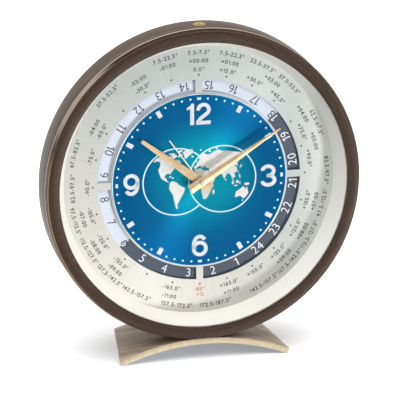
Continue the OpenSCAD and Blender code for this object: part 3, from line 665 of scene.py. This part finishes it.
def drill(centre, direction, radius, depth, segments=24):
    mesh = bmesh.new()
    turn = Vector(direction).to_track_quat("Z", "Y").to_matrix().to_4x4()
    place = Matrix.Translation(centre) @ turn @ Matrix.Translation((0, 0, depth / 2))
    addRod(mesh, radius, depth, place, segments)
    return mesh


# Case ring: hollowed below where the arched base fits it, and drilled for the button

caseRing = {
    "profile": [(86, -9), (91.4, -9), (92, -8.4), (92, 10.4), (91, 13.8), (84.1, 13.8),
                (84.1, 12.8), (86, 12.8)],
    "steps": 256,
    "corner": 0.14,                      # rounding of its corners
    "seat": {"radius": 128.4, "low": -45, "high": 13.0, "segments": 360},
    "hole": {"centre": (0, 80, 1.3), "direction": (0, 1, 0), "radius": 3.5, "depth": 20},
}

ringMesh = spun(caseRing["profile"], caseRing["steps"])
softened(ringMesh, caseRing["corner"])
ringPiece = finished("caseRing", ringMesh, "case", "case_wood", ["case_ring"])
seatMesh = bmesh.new()
addDisc(seatMesh, centre=archCentre, **caseRing["seat"])
cutWith(ringPiece, [seatMesh, drill(**caseRing["hole"])])
print("case ring made")

# Base plate: an arc turned about the arch's own axis, its ends cut square to the feet

basePlate = {
    "radii": (125.0, 128.4),
    "depth": (-38.0, 13.0),
    "reach": 27,                         # degrees of arc to each side, before the ends are cut
    "steps": 108,
    "foot": 21.23,                       # degrees of the foot at mid depth
    "splay": 8.95,                       # degrees that the ends splay
    "ground": 0.00005,                   # m: the feet are cut level here
    "corner": 0.3,
}


def makeBasePlate(spec):
    inner, outer = spec["radii"]
    back, front = spec["depth"]
    reached = math.radians(spec["reach"])
    mesh = bmesh.new()
    loop = addLoop(mesh, [(0, outer, front), (0, outer, back), (0, inner, back), (0, inner, front)])
    bmesh.ops.translate(mesh, verts=mesh.verts, vec=archCentre)
    bmesh.ops.rotate(mesh, verts=mesh.verts, cent=archCentre, matrix=Matrix.Rotation(reached, 3, "Z"))
    bmesh.ops.spin(mesh, geom=loop, cent=archCentre, axis=(0, 0, 1), angle=-2 * reached,
                   steps=spec["steps"])
    cuts = []
    for side in (-1, 1):
        at = archCentre + clockPoint(inner, side * spec["foot"], (back + front) / 2)
        ray = clockPoint(1, side * spec["foot"])
        across = Vector((0, 0, 1)).cross(ray) * -side
        cuts.append((at, Matrix.Rotation(math.radians(side * spec["splay"]), 3, ray) @ across))
    cuts.append((dialPlace.inverted() @ Vector((0, 0, spec["ground"])),
                 dialTurn.transposed() @ Vector((0, 0, -1))))
    for point, normal in cuts:
        bisected(mesh, point, normal, clear_outer=True)
        bmesh.ops.remove_doubles(mesh, verts=mesh.verts, dist=0.001)
        bmesh.ops.holes_fill(mesh, edges=[e for e in mesh.edges if e.is_boundary], sides=0)
    softened(mesh, spec["corner"])
    return mesh


finished("basePlate", makeBasePlate(basePlate), "case", "base_brass", ["base_plate"])
print("base made")

# Hands: a low ridge runs down the middle of each

hands = {
    "hourHand": {"node": "hour_hand", "body": "hour", "turn": 307.5, "length": 43.2, "tip": 2.0,
                 "low": 3.2, "bore": 2.15},
    "minuteHand": {"node": "minute_hand", "body": "minute", "turn": 58.3, "length": 54.8, "tip": 0.8,
                   "low": 4.8, "bore": 1.2},
}
handShape = {"width": 5.4, "tail": 7.8, "thick": 0.9, "side": 0.35, "corner": 0.06, "sharpest": 12,
             "short": 0.5}               # the ridge stops this much short of both ends


def makeHand(name, spec, shape):
    half = shape["width"] / 2
    tip = spec["tip"] / 2
    mesh = bmesh.new()
    outline = [(-half, -shape["tail"]), (half, -shape["tail"]), (half, 0), (tip, spec["length"]),
               (-tip, spec["length"]), (-half, 0)]
    prism(mesh, outline, 0, shape["side"])
    bisected(mesh, (0, 0, 0), (1, 0, 0))
    for vert in mesh.verts:
        if abs(vert.co.x) < 0.001 and vert.co.z > shape["side"] / 2:
            vert.co.z = shape["thick"]
            vert.co.y += shape["short"] if vert.co.y < 0 else -shape["short"]
    softened(mesh, shape["corner"], shape["sharpest"])
    bmesh.ops.rotate(mesh, verts=mesh.verts, cent=(0, 0, 0),
                     matrix=Matrix.Rotation(math.radians(-spec["turn"]), 3, "Z"))
    bmesh.ops.translate(mesh, verts=mesh.verts, vec=(0, 0, spec["low"]))
    piece = finished(name, mesh, spec["body"], "gilt_hands", [spec["node"]], 10)
    cutWith(piece, [drill((0, 0, spec["low"] - 1), (0, 0, 1), spec["bore"], 4, 32)])


for handName, handSpec in hands.items():
    makeHand(handName, handSpec, handShape)

# End of the centre arbor: a bright dome in a dark ring, which stands from low to high about its base
arborEnd = {"base": 6.4, "dome": 0.62, "ring": 0.95, "rise": 0.3, "low": -0.2, "high": 0.02}


def makeArborEnd(spec):
    base, dome, ring = spec["base"], spec["dome"], spec["ring"]
    low, high = base + spec["low"], base + spec["high"]
    collar = spun([(dome, low), (ring, low), (ring, high), (dome, high)], 32)
    finished("arborCollar", collar, "minute", "black_plastic")
    mesh = bmesh.new()
    bmesh.ops.create_uvsphere(mesh, u_segments=24, v_segments=12, radius=dome,
                              matrix=Matrix.Translation((0, 0, base)))
    bmesh.ops.scale(mesh, verts=mesh.verts, vec=(1, 1, spec["rise"] / dome),
                    space=Matrix.Translation((0, 0, -base)))
    finished("arborDome", mesh, "minute", "white_hand")


makeArborEnd(arborEnd)
print("hands made")

# Bright rim round the blue dial, and the strip of blue that reaches it
centreRim = {"profile": [(50.7, 0), (51.25, 0), (51.25, 0.45), (51.15, 0.7), (50.85, 0.7), (50.7, 0.6)],
             "strip": [(50.01, 0.2), (50.72, 0.2), (50.72, 0.6), (50.01, 0.6)],
             "steps": 256, "corner": 0.08}
rimMesh = spun(centreRim["profile"], centreRim["steps"])
softened(rimMesh, centreRim["corner"])
finished("centreRim", rimMesh, "case", "bright_ring")
stripMesh = spun(centreRim["strip"], centreRim["steps"])
finished("centreStrip", stripMesh, "case", "blue_dial")

# Dark disc in the middle of the alarm button: painted shade standing in for its dimple
buttonDimpleShade = {"centre": (0, 92.4, 1.3), "direction": (0, 1, 0), "radius": 0.6, "depth": 0.304}
finished("buttonDimpleShade", drill(**buttonDimpleShade), "stop_button", "black_plastic")

# Lettering: plain digits and signs, in two weights; the 1 is a plain stroke

lettering = {
    "letters": "023456789+-.:°",
    "one": [(0.22, 0), (0.36, 0), (0.36, 1), (0.25, 1), (0.0, 0.82), (0.0, 0.68), (0.22, 0.83)],
    "thick": 0.035,
    "small": {"bolder": 0.018, "gap": 0.2},
    "ring": {"bolder": -0.004, "gap": 0.17},
}


def closedGlyph(holder, graph):
    mesh = bmesh.new()
    mesh.from_mesh(bpy.data.meshes.new_from_object(holder.evaluated_get(graph)))
    bmesh.ops.remove_doubles(mesh, verts=mesh.verts, dist=0.0005)
    return asData("glyph", mesh)


def makeGlyphs(spec, bolder):
    holders = {}
    for letter in spec["letters"]:
        curve = bpy.data.curves.new("glyph", "FONT")
        curve.body = letter
        curve.resolution_u = 3
        curve.extrude = 0.5
        curve.offset = bolder
        holders[letter] = linked("glyph", curve)
    graph = bpy.context.evaluated_depsgraph_get()
    shapes = {letter: closedGlyph(holder, graph) for letter, holder in holders.items()}
    for holder in holders.values():
        bpy.data.objects.remove(holder)
    tall = max(vert.co.y for vert in shapes["7"].vertices)
    one = bmesh.new()
    prism(one, [(x * tall, y * tall) for x, y in spec["one"]], -0.5, 0.5)
    bmesh.ops.recalc_face_normals(one, faces=one.faces)
    shapes["1"] = asData("one", one)
    spans = {letter: (min(v.co.x for v in data.vertices), max(v.co.x for v in data.vertices))
             for letter, data in shapes.items()}
    return shapes, spans, tall


faces = {name: makeGlyphs(lettering, lettering[name]["bolder"]) for name in ("small", "ring")}


def addText(mesh, text, height, carry, face="small"):
    glyphs, spans, tall = faces[face]
    scale = height / tall
    step = height * lettering[face]["gap"]
    widths = [(spans[letter][1] - spans[letter][0]) * scale for letter in text]
    start = -(sum(widths) + step * (len(text) - 1)) / 2
    for letter, width in zip(text, widths):
        first = len(mesh.verts)
        mesh.from_mesh(glyphs[letter])
        mesh.verts.ensure_lookup_table()
        for vert in mesh.verts[first:]:
            x, y, z = vert.co
            vert.co = carry(start + (x - spans[letter][0]) * scale, y * scale, z + 0.5)
        start += width + step


def onArc(radius, degrees, outward, base, thick):
    way = 1 if outward else -1

    def carry(x, y, z):
        return clockPoint(radius + way * y, degrees + way * math.degrees(x / radius), base + z * thick)
    return carry


# Ring numerals: tops towards the hub; hour n stands at (n - start) * 15 degrees
ringNumerals = {"start": 14.56, "baseline": 58.2, "height": 4.9, "top": -1.6, "thick": 0.06}


def makeRingNumerals(spec):
    mesh = bmesh.new()
    for hour in range(1, 25):
        place = onArc(spec["baseline"], (hour - spec["start"]) * 15, False, spec["top"], spec["thick"])
        addText(mesh, str(hour), spec["height"], place, "ring")
    finished("ringNumerals", mesh, "world_dial", "ring_ink")


makeRingNumerals(ringNumerals)

# Rows of figures on the silver dial, near, mid or far from the windows: their radii, then their degrees
dialRows = {
    "upper": {"near": 64.3, "mid": 69.4, "far": 74.3, "line": 73.0},
    "lower": {"near": 66.7, "mid": 71.7, "far": 76.5},
    "upperTo": 95,                       # degrees each way from 12 that read outwards
    "height": 2.35,
    "near": [-90, -74, -60, -30, 0, 15, 30, 45, 68, 82.5, 104.5, 120, 134.8, 149.6, 164.6, 195,
             225, 240, 255],
    "mid": [-60, -30, -15, 0, 15, 37.7, 60, 74.7, 104.5, 120, 134.8, 164.6, 195, 225, 240, 255],
    "far": [-74, -45, -15, 0, 15, 30, 45, 67, 89.5, 104.5, 120, 134.8, 149.6, 173, 190.6, 210,
            225, 240, 255],
    "line": [-90],
}


def rowText(row, turn):
    zone = round(turn / 15)
    sign = "-" if zone < 0 else "+"
    if row == "near":
        return f"{sign if zone else ''}{abs(zone) * 15}.0°"
    if row == "mid":
        return f"{sign}{abs(zone):02d}:00"
    low, high = sorted((abs(zone * 15 - 7.5), abs(zone * 15 + 7.5)))
    return f"{low}-{high}°"


def makeDialRows(spec):
    mesh = bmesh.new()
    for row in ("near", "mid", "far", "line"):
        for degrees in spec[row]:
            turn = (degrees + 180) % 360 - 180
            upper = abs(turn) < spec["upperTo"]
            radius = spec["upper" if upper else "lower"][row]
            addText(mesh, rowText(row, turn), spec["height"],
                    onArc(radius, degrees, upper, 0, lettering["thick"]))
    finished("dialFigures", mesh, "case", "dark_ink")


makeDialRows(dialRows)

# Zone dots, and the mark and figures of the date line in red
zoneDots = {"radius": 62.25, "size": 0.55, "count": 24, "thick": 0.04}
dateMark = {"mark": [(0, 61.0), (0.95, 62.8), (-0.95, 62.8)],
            "rows": (("180°", 66.4), ("+12", 69.6)), "height": 2.1}

dotMesh = bmesh.new()
for index in range(zoneDots["count"]):
    if index != zoneDots["count"] // 2:
        dotPoint = clockPoint(zoneDots["radius"], index * 360 / zoneDots["count"])
        addDisc(dotMesh, zoneDots["size"], dotPoint, 0, zoneDots["thick"], 16)
finished("zoneDots", dotMesh, "case", "dot_ink")
markMesh = bmesh.new()
prism(markMesh, [(-x, -y) for x, y in dateMark["mark"]], 0, zoneDots["thick"])
for rowLine, rowRadius in dateMark["rows"]:
    addText(markMesh, rowLine, dateMark["height"],
            onArc(rowRadius, 180, False, 0, lettering["thick"]))
finished("dateMark", markMesh, "case", "red_ink")
print("silver dial printed")

# Minute track of the blue dial

minuteTrack = {"radius": 48.4, "dot": 0.6, "dash": (2.3, 1.35), "base": 0.6, "top": 0.66}


def makeMinuteTrack(spec):
    mesh = bmesh.new()
    middle = (spec["base"] + spec["top"]) / 2
    for minute in range(60):
        if minute % 15 == 0:
            turn = Matrix.Rotation(math.radians(-minute * 6), 4, "Z")
            place = Matrix.Translation(clockPoint(spec["radius"], minute * 6, middle)) @ turn
            size = Matrix.Diagonal((*spec["dash"], spec["top"] - spec["base"], 1))
            bmesh.ops.create_cube(mesh, size=1, matrix=place @ size)
        elif minute % 5:
            addDisc(mesh, spec["dot"], clockPoint(spec["radius"], minute * 6), spec["base"], spec["top"])
    finished("minuteTrack", mesh, "case", "track_ink")


makeMinuteTrack(minuteTrack)

# Hour figures and bars of the blue dial, each stroke along its middle line, in mm
hourFigures = {
    "stroke": 2.1,
    "base": 0.6,
    "top": 0.95,
    "bar": (2.5, 4.1),
    "barAt": 46.9,
    "bars": (1, 2, 4, 5, 7, 8, 10, 11),
    "one": [(-5.3, 33.1), (-3.1, 33.1), (-3.1, 45.7), (-4.6, 45.7), (-5.3, 44.4), (-7.2, 43.4),
            (-7.2, 42.0), (-5.3, 42.5)],
    # centre, half widths, degrees from and to, then further points
    "two": ((2.5, 41.7), (3.1, 3.05), 184, -38, [(0.9, 36.9), (-0.45, 35.2), (-0.75, 34.15)]),
    "foot": [(-1.8, 33.1), (6.6, 33.1), (6.6, 35.2), (-1.8, 35.2)],
    "threeUp": ((40.3, 2.78), (3.4, 2.78), 172, -104, []),
    "threeDown": ((40.5, -2.78), (3.7, 2.78), 104, -170, []),
    "bowl": ((-0.1, -40.8), (3.6, 3.6), 180, -180, []),
    "tail": ((-0.05, -38.7), (3.65, 5.15), 40, 205, []),
    "nineAt": (-40.05, 38.85),           # the 6 turned round, and the middle of its height
}


def strokeOutline(centre, halves, start, end, further, width, steps=28):
    turns = [math.radians(start + (end - start) * i / steps) for i in range(steps + 1)]
    line = [Vector((centre[0] + halves[0] * math.cos(t), centre[1] + halves[1] * math.sin(t)))
            for t in turns] + [Vector(point) for point in further]
    sides = ([], [])
    for index, point in enumerate(line):
        along = (line[min(index + 1, len(line) - 1)] - line[max(index - 1, 0)]).normalized()
        across = Vector((-along.y, along.x)) * width / 2
        sides[0].append(point + across)
        sides[1].append(point - across)
    return sides[0] + sides[1][::-1]


def filledShapes(outlines, low, high):
    curve = bpy.data.curves.new("outlines", "CURVE")
    curve.dimensions = "2D"
    curve.fill_mode = "BOTH"
    curve.extrude = 0.5
    for outline in outlines:
        spline = curve.splines.new("POLY")
        spline.points.add(len(outline) - 1)
        spline.use_cyclic_u = True
        for point, (x, y) in zip(spline.points, outline):
            point.co = (x, y, 0, 1)
    holder = linked("outlines", curve)
    mesh = bmesh.new()
    graph = bpy.context.evaluated_depsgraph_get()
    mesh.from_mesh(bpy.data.meshes.new_from_object(holder.evaluated_get(graph)))
    bpy.data.objects.remove(holder)
    for vert in mesh.verts:
        vert.co.z = low + (vert.co.z + 0.5) * (high - low)
    return mesh


def makeHourFigures(spec):
    wide, tall = spec["bar"]
    outlines = [spec["one"], spec["foot"]]
    strokes = {name: strokeOutline(*spec[name], spec["stroke"])
               for name in ("two", "threeUp", "threeDown", "bowl", "tail")}
    outlines += strokes.values()
    middleX, middleY = spec["nineAt"]
    for name in ("bowl", "tail"):
        outlines.append([(middleX - x, -(y + middleY)) for x, y in strokes[name]])
    for hour in spec["bars"]:
        place = Matrix.Rotation(math.radians(-30 * hour), 2)
        outlines.append([place @ Vector((x * wide / 2, spec["barAt"] + y * tall / 2))
                         for x, y in ((-1, -1), (1, -1), (1, 1), (-1, 1))])
    mesh = bmesh.new()
    for outline in outlines:
        shape = filledShapes([outline], spec["base"], spec["top"])
        bmesh.ops.remove_doubles(shape, verts=shape.verts, dist=0.001)
        mesh.from_mesh(asData("stroke", shape))
    finished("hourFigures", mesh, "case", "applied_markers", ["hour_markers"])


makeHourFigures(hourFigures)

# World map in two circles: simple outlines in whole degrees of longitude and latitude

worldMap = {
    "circles": (-13.4, 13.4),
    "radius": 19.7,
    "line": 0.7,
    "base": 0.6,
    "top": 0.64,
    "rightTop": 0.66,                    # the right circle lies over the left one
    "centre": (-1.3, -2.5),
    "scale": (0.207, 0.26),              # mm per degree
    "pinch": 0.25,                       # how much narrower the map is at 60 degrees
    "land": [
        [(-166, 66), (-156, 71), (-135, 69), (-115, 69), (-95, 72), (-82, 68), (-92, 60), (-82, 54),
         (-78, 60), (-66, 58), (-56, 52), (-66, 46), (-74, 40), (-76, 35), (-81, 30), (-80, 25),
         (-84, 30), (-94, 29), (-97, 22), (-90, 19), (-87, 14), (-80, 8), (-86, 11), (-96, 15),
         (-105, 20), (-112, 28), (-117, 33), (-124, 40), (-124, 48), (-135, 57), (-150, 60),
         (-162, 57)],
        [(-78, 8), (-72, 12), (-60, 9), (-50, 1), (-35, -6), (-39, -16), (-48, -26), (-57, -36),
         (-65, -42), (-68, -52), (-74, -52), (-72, -38), (-71, -20), (-80, -6), (-79, 2)],
        [(-55, 82), (-25, 82), (-20, 74), (-40, 64), (-46, 60), (-54, 68), (-68, 76)],
        [(-6, 35), (10, 37), (20, 32), (32, 31), (38, 20), (43, 12), (51, 11), (41, -3), (39, -14),
         (33, -26), (27, -34), (18, -34), (12, -18), (9, -2), (8, 4), (-8, 4), (-17, 14), (-16, 24)],
        [(-9, 37), (-9, 43), (-2, 44), (-2, 48), (4, 52), (9, 57), (6, 62), (15, 69), (28, 71),
         (42, 67), (60, 69), (72, 73), (100, 77), (112, 74), (140, 73), (160, 70), (178, 68),
         (170, 60), (162, 56), (157, 51), (155, 60), (142, 59), (135, 54), (140, 48), (130, 43),
         (127, 36), (122, 40), (118, 38), (122, 31), (117, 24), (108, 21), (109, 12), (104, 10),
         (101, 14), (104, 2), (100, 7), (98, 16), (91, 22), (86, 20), (80, 13), (77, 8), (73, 18),
         (67, 25), (57, 26), (50, 30), (56, 25), (58, 20), (45, 13), (39, 21), (35, 28), (36, 36),
         (27, 37), (28, 41), (20, 40), (23, 37), (18, 41), (13, 45), (18, 40), (15, 38), (9, 44),
         (0, 40), (-5, 36)],
        [(114, -22), (122, -18), (130, -12), (136, -12), (136, -16), (141, -17), (142, -11),
         (146, -18), (153, -27), (150, -37), (144, -39), (138, -35), (130, -32), (118, -35),
         (115, -33)],
        [(130, 32), (140, 36), (142, 44), (139, 38), (132, 35)],
    ],
    # longitude, latitude, half widths in degrees
    "islands": [(-3, 55, 3, 4), (-9, 53, 2, 2), (-19, 65, 5, 2), (47, -19, 3, 6), (81, 7, 2, 2),
                (101, -1, 3, 4), (114, 1, 4, 4), (110, -8, 5, 1.5), (121, -2, 2, 3),
                (141, -6, 8, 3), (122, 13, 2, 5),
                (-79, 22, 4, 1.5), (-71, 19, 3, 1.5), (147, -43, 2, 2), (121, 24, 1.5, 2),
                (58, 75, 5, 3), (18, 79, 5, 2), (-72, 69, 8, 4), (-108, 73, 8, 2.5),
                (-84, 79, 10, 3), (-122, 74, 5, 2), (100, 80, 6, 2)],
}


def mapPoint(spec, east, north):
    x, y = spec["centre"]
    wide, high = spec["scale"]
    return x + wide * east * (1 - spec["pinch"] * (north / 60) ** 2), y + high * north


def arcBand(mesh, centre, radius, width, start, sweep, low, high):
    half = width / 2
    first = len(mesh.verts)
    corners = [(radius - half, low), (radius + half, low), (radius + half, high), (radius - half, high)]
    loop = addLoop(mesh, [(centre + r * math.cos(start), r * math.sin(start), z) for r, z in corners])
    full = sweep > tau - 0.001
    bmesh.ops.spin(mesh, geom=loop, cent=(centre, 0, 0), axis=(0, 0, 1), angle=sweep,
                   steps=round(sweep * 24), use_merge=full)
    if not full:
        mesh.verts.ensure_lookup_table()
        band = set(mesh.verts[first:])
        ends = [e for e in mesh.edges if e.is_boundary and e.verts[0] in band]
        bmesh.ops.holes_fill(mesh, edges=ends, sides=4)


def makeWorldMap(spec):
    outlines = [[mapPoint(spec, *point) for point in land] for land in spec["land"]]
    for east, north, wide, high in spec["islands"]:
        outlines.append([mapPoint(spec, east + wide * math.cos(i * tau / 8),
                                  north + high * math.sin(i * tau / 8)) for i in range(8)])
    land = filledShapes(outlines, spec["base"], spec["top"])
    finished("worldLand", land, "case", "map_ink")
    circles = bmesh.new()
    left, right = spec["circles"]
    cut = math.acos((right - left) / 2 / spec["radius"])
    for centre, start, sweep, top in ((right, 0, tau, spec["rightTop"]),
                                      (left, cut, tau - 2 * cut, spec["top"])):
        arcBand(circles, centre, spec["radius"], spec["line"], start, sweep, spec["base"], top)
    finished("worldCircles", circles, "case", "track_ink")


makeWorldMap(worldMap)
print("blue dial printed")

# Knobs at the back: a ribbed skirt with a dished cap, and arrows printed round them

knobs = {
    "settingKnob": {"node": "set_knob", "body": "minute", "radius": 7.0, "centre": clockPoint(0, 0)},
    "alarmKnob": {"node": "alarm_knob", "body": "alarm_setting", "radius": 6.0,
                  "centre": clockPoint(28, 210)},
}
knobShape = {
    "front": -39.5,
    "rim": -45.0,
    "ribs": 30,
    "rib": ((0.0, 0), (0.5, 0), (0.65, 0.45), (0.85, 0.45)),    # share of a rib's turn, depth in mm
    "cap": ((0.6, 0.2), (0.6, 0), (1.1, -0.5), (2.0, -0.5), (2.4, -0.15)),    # mm within, before the rim
    "steps": 64,
}
knobArrows = {"away": 3.0, "line": 0.5, "arc": (50, 80), "heads": (40, 52), "half": 1.1,
              "low": -38.04, "high": -37.98}


def makeKnob(name, spec, shape):
    radius, away, rim = spec["radius"], spec["centre"], shape["rim"]
    turn = 360 / shape["ribs"]
    outline = [clockPoint(radius - sunk, (rib + share) * turn) + away
               for rib in range(shape["ribs"]) for share, sunk in shape["rib"]]
    mesh = bmesh.new()
    prism(mesh, [point[:2] for point in outline], rim, shape["front"])
    side = [(radius - within, rim + before) for within, before in shape["cap"]]
    cap = spun([(0, side[0][1]), *side, (0, side[-1][1])], shape["steps"])
    bmesh.ops.translate(cap, verts=cap.verts, vec=away)
    mesh.from_mesh(asData("cap", cap))
    finished(name, mesh, spec["body"], "knob_plastic", [spec["node"]], 24)


def makeArrows(specs, shape):
    mesh = bmesh.new()
    low, high, half = shape["low"], shape["high"], shape["half"]
    arcStart, arcSweep = [math.radians(angle) for angle in shape["arc"]]
    neck, tip = shape["heads"]
    for spec in specs.values():
        radius = spec["radius"] + shape["away"]
        start = len(mesh.verts)
        arcBand(mesh, 0, radius, shape["line"], arcStart, arcSweep, low, high)
        for side in (-1, 1):
            head = [(radius - half, neck * side), (radius + half, neck * side), (radius, tip * side)]
            prism(mesh, [clockPoint(r, a)[:2] for r, a in head], low, high)
        mesh.verts.ensure_lookup_table()
        bmesh.ops.translate(mesh, verts=mesh.verts[start:], vec=spec["centre"])
    finished("knobArrows", mesh, "case", "map_ink")


for knobName, knobSpec in knobs.items():
    makeKnob(knobName, knobSpec, knobShape)
makeArrows(knobs, knobArrows)
print("knobs made")

# Floor and lights

studio = {
    "world": 0.46,
    "size": 6,                           # m
    "floor": (0.97, 0.96515),            # how pale the floor is, in its paler and darker places
    "lift": 0.12,                        # keeps its shadows light, as in a white studio
}
lights = {
    "key": {"direction": (0.564, -0.478, 0.673), "strength": 2.1, "angle": 9, "glossy": True},
    "top": {"direction": (0.0, 0.98, 0.2), "strength": 3.6, "angle": 80, "glossy": False},
}


def makeFloor(spec):
    mesh = bmesh.new()
    bmesh.ops.create_grid(mesh, x_segments=8, y_segments=8, size=spec["size"])
    data = asData("floor", mesh)
    material, tree, shader = newMaterial("floor", Roughness=0.9, Specular_IOR_Level=0.0,
                                         Emission_Color=(1, 1, 1, 1), Emission_Strength=spec["lift"])
    place = placed(tree, dialCoords)["Place"]
    pale, soft = [(level, level, level, 1.0) for level in spec["floor"]]
    feed(shader.inputs["Base Color"], mixed(noise(place, 0.01), pale, soft))
    data.materials.append(material)
    floor = linked("floor", data)
    # The key light stands low, so the floor neither stops it nor throws light back on the clock
    floor.visible_shadow = False
    floor.visible_diffuse = False


def makeSun(name, spec):
    data = bpy.data.lights.new(name, "SUN")
    data.energy = spec["strength"]
    data.angle = math.radians(spec["angle"])
    lamp = linked(name, data)
    toLight = dialTurn @ Vector(spec["direction"]).normalized()
    lamp.rotation_euler = toLight.to_track_quat("Z", "Y").to_euler()
    lamp.visible_glossy = spec["glossy"]


def makeWorld(spec):
    world = bpy.data.worlds.new("studio")
    world.use_nodes = True
    back = world.node_tree.nodes["Background"]
    back.inputs["Color"].default_value = (1, 1, 1, 1)
    back.inputs["Strength"].default_value = spec["world"]
    bpy.context.scene.world = world
    bpy.context.scene.view_settings.view_transform = "Standard"


makeFloor(studio)
makeWorld(studio)
for lampName, lampSpec in lights.items():
    makeSun(lampName, lampSpec)
print("stage made")
